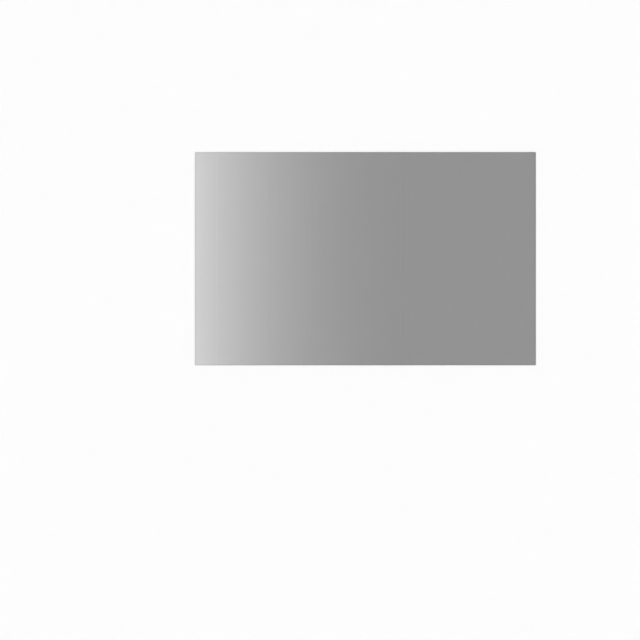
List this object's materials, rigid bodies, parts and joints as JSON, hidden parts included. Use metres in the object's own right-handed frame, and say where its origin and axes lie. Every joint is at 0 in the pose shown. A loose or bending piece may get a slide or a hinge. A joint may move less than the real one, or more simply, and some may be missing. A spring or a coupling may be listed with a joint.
{
  "type": "privacy filter",
  "caption": "Flat rectangular sheet of tinted see-through film with small rounded corners that lies over a screen and narrows the angle it can be read from.",
  "frame": {"origin": "middle of the back face, which goes against the screen", "axes": "+X to the viewer's right along the long side, +Y up the screen, +Z out of the viewing face"},
  "size_m": [0.5184, 0.324, 0.0005],
  "materials": {
    "tinted_film": "neutral grey polyester film, see-through, with a clear gloss hard coat and a satin back"
  },
  "bodies": {
    "root": {"filter_sheet": "tinted_film"}
  },
  "joints": []
}
